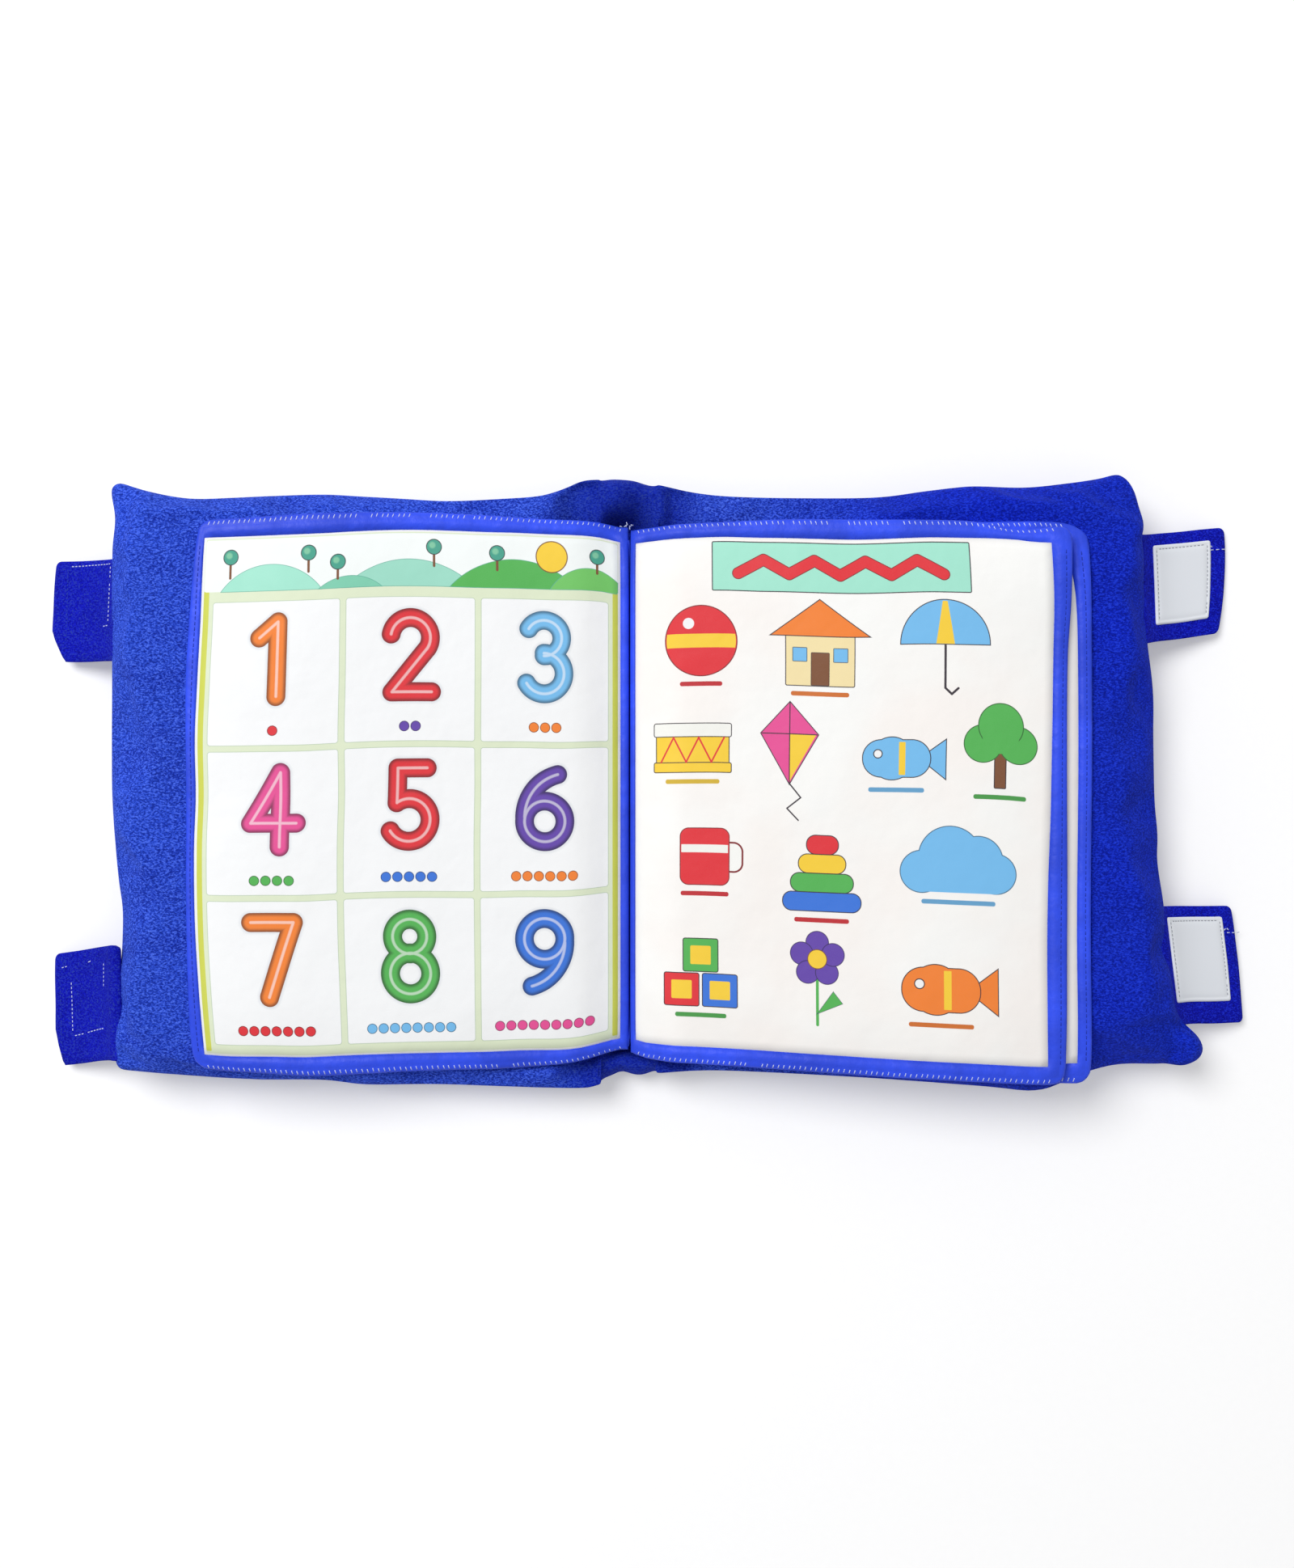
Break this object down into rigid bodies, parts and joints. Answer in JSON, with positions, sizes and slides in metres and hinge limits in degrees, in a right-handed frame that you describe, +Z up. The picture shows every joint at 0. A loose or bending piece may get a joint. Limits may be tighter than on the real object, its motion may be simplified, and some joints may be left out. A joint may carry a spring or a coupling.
{
  "type": "cushion book",
  "caption": "Soft padded book lying open: two stuffed plush covers on a fabric spine, padded cloth leaves that turn, and fore-edge straps with hook and loop patches.",
  "frame": {"origin": "middle of the part's box on the surface it lies on, under the open book a little to the right of its gutter", "axes": "+X from the left cover to the right cover, +Y to the head of the leaves, +Z up out of the open leaves"},
  "size_m": [0.6036, 0.2928, 0.054],
  "materials": {
    "plush": "short velvety pile, royal blue",
    "filling": "soft polyester wadding",
    "binding": "woven tape",
    "satin": "satin ribbon with a low sheen",
    "printed_cotton": "printed woven cotton, matt",
    "strap_plush": "short velvety pile, deep blue",
    "loop_tape": "napped loop tape",
    "hook_tape": "stiff hook tape, pale lavender grey"
  },
  "bodies": {
    "spine": {"spine_gusset": "plush", "page_binding": "binding"},
    "left_cover": {"left_cover_inner_panel": "plush", "left_cover_outer_panel": "plush", "left_cover_filling": "filling"},
    "right_cover": {"right_cover_inner_panel": "plush", "right_cover_outer_panel": "plush", "right_cover_filling": "filling"},
    "left_leaf": {"left_leaf_border": "satin", "left_leaf_wadding": "filling", "left_leaf_front_panel": "printed_cotton", "left_leaf_back_panel": "printed_cotton"},
    "under_leaf": {"under_leaf_border": "satin", "under_leaf_wadding": "filling", "under_leaf_front_panel": "printed_cotton", "under_leaf_back_panel": "printed_cotton"},
    "turning_leaf": {"turning_leaf_border": "satin", "turning_leaf_wadding": "filling", "turning_leaf_front_panel": "printed_cotton", "turning_leaf_back_panel": "printed_cotton"},
    "left_upper_strap": {"left_upper_strap": "strap_plush", "left_upper_loop_patch": "loop_tape"},
    "left_lower_strap": {"left_lower_strap": "strap_plush", "left_lower_loop_patch": "loop_tape"},
    "right_upper_strap": {"right_upper_strap": "strap_plush", "right_upper_hook_patch": "hook_tape"},
    "right_lower_strap": {"right_lower_strap": "strap_plush", "right_lower_hook_patch": "hook_tape"}
  },
  "joints": [
    {"name": "left_cover_fold", "type": "hinge", "parent": "spine", "child": "left_cover", "pos_m": [-0.02662, 0.00035, 0.022], "axis": [0, 1, 0], "range_deg": [0, 85]},
    {"name": "right_cover_fold", "type": "hinge", "parent": "spine", "child": "right_cover", "pos_m": [0.00138, 0.00035, 0.022], "axis": [0, -1, 0], "range_deg": [0, 85]},
    {"name": "left_leaf_turn", "type": "hinge", "parent": "spine", "child": "left_leaf", "pos_m": [-0.01642, 0.00035, 0.03135], "axis": [0, 1, 0], "range_deg": [0, 85]},
    {"name": "under_leaf_turn", "type": "hinge", "parent": "spine", "child": "under_leaf", "pos_m": [-0.00882, 0.00035, 0.03135], "axis": [0, -1, 0], "range_deg": [0, 85]},
    {"name": "turning_leaf_turn", "type": "hinge", "parent": "under_leaf", "child": "turning_leaf", "pos_m": [-0.01262, 0.00035, 0.03465], "axis": [0, 1, 0], "range_deg": [-170, 0]},
    {"name": "left_upper_strap_fold", "type": "hinge", "parent": "left_cover", "child": "left_upper_strap", "pos_m": [-0.26119, 0.08435, 0.0265], "axis": [0.0386, 0.9993, 0], "range_deg": [0, 136]},
    {"name": "left_lower_strap_fold", "type": "hinge", "parent": "left_cover", "child": "left_lower_strap", "pos_m": [-0.26298, -0.10965, 0.0265], "axis": [-0.0199, 0.9998, 0], "range_deg": [0, 136]},
    {"name": "right_upper_strap_fold", "type": "hinge", "parent": "right_cover", "child": "right_upper_strap", "pos_m": [0.23687, 0.09735, 0.0265], "axis": [0.0418, -0.9991, 0], "range_deg": [0, 117]},
    {"name": "right_lower_strap_fold", "type": "hinge", "parent": "right_cover", "child": "right_lower_strap", "pos_m": [0.25184, -0.08865, 0.0265], "axis": [0.1181, -0.993, 0], "range_deg": [0, 131]}
  ],
  "couplings": [
    {"joint": "left_leaf_turn", "follows": "left_cover_fold", "ratio": 1},
    {"joint": "under_leaf_turn", "follows": "right_cover_fold", "ratio": 1}
  ]
}
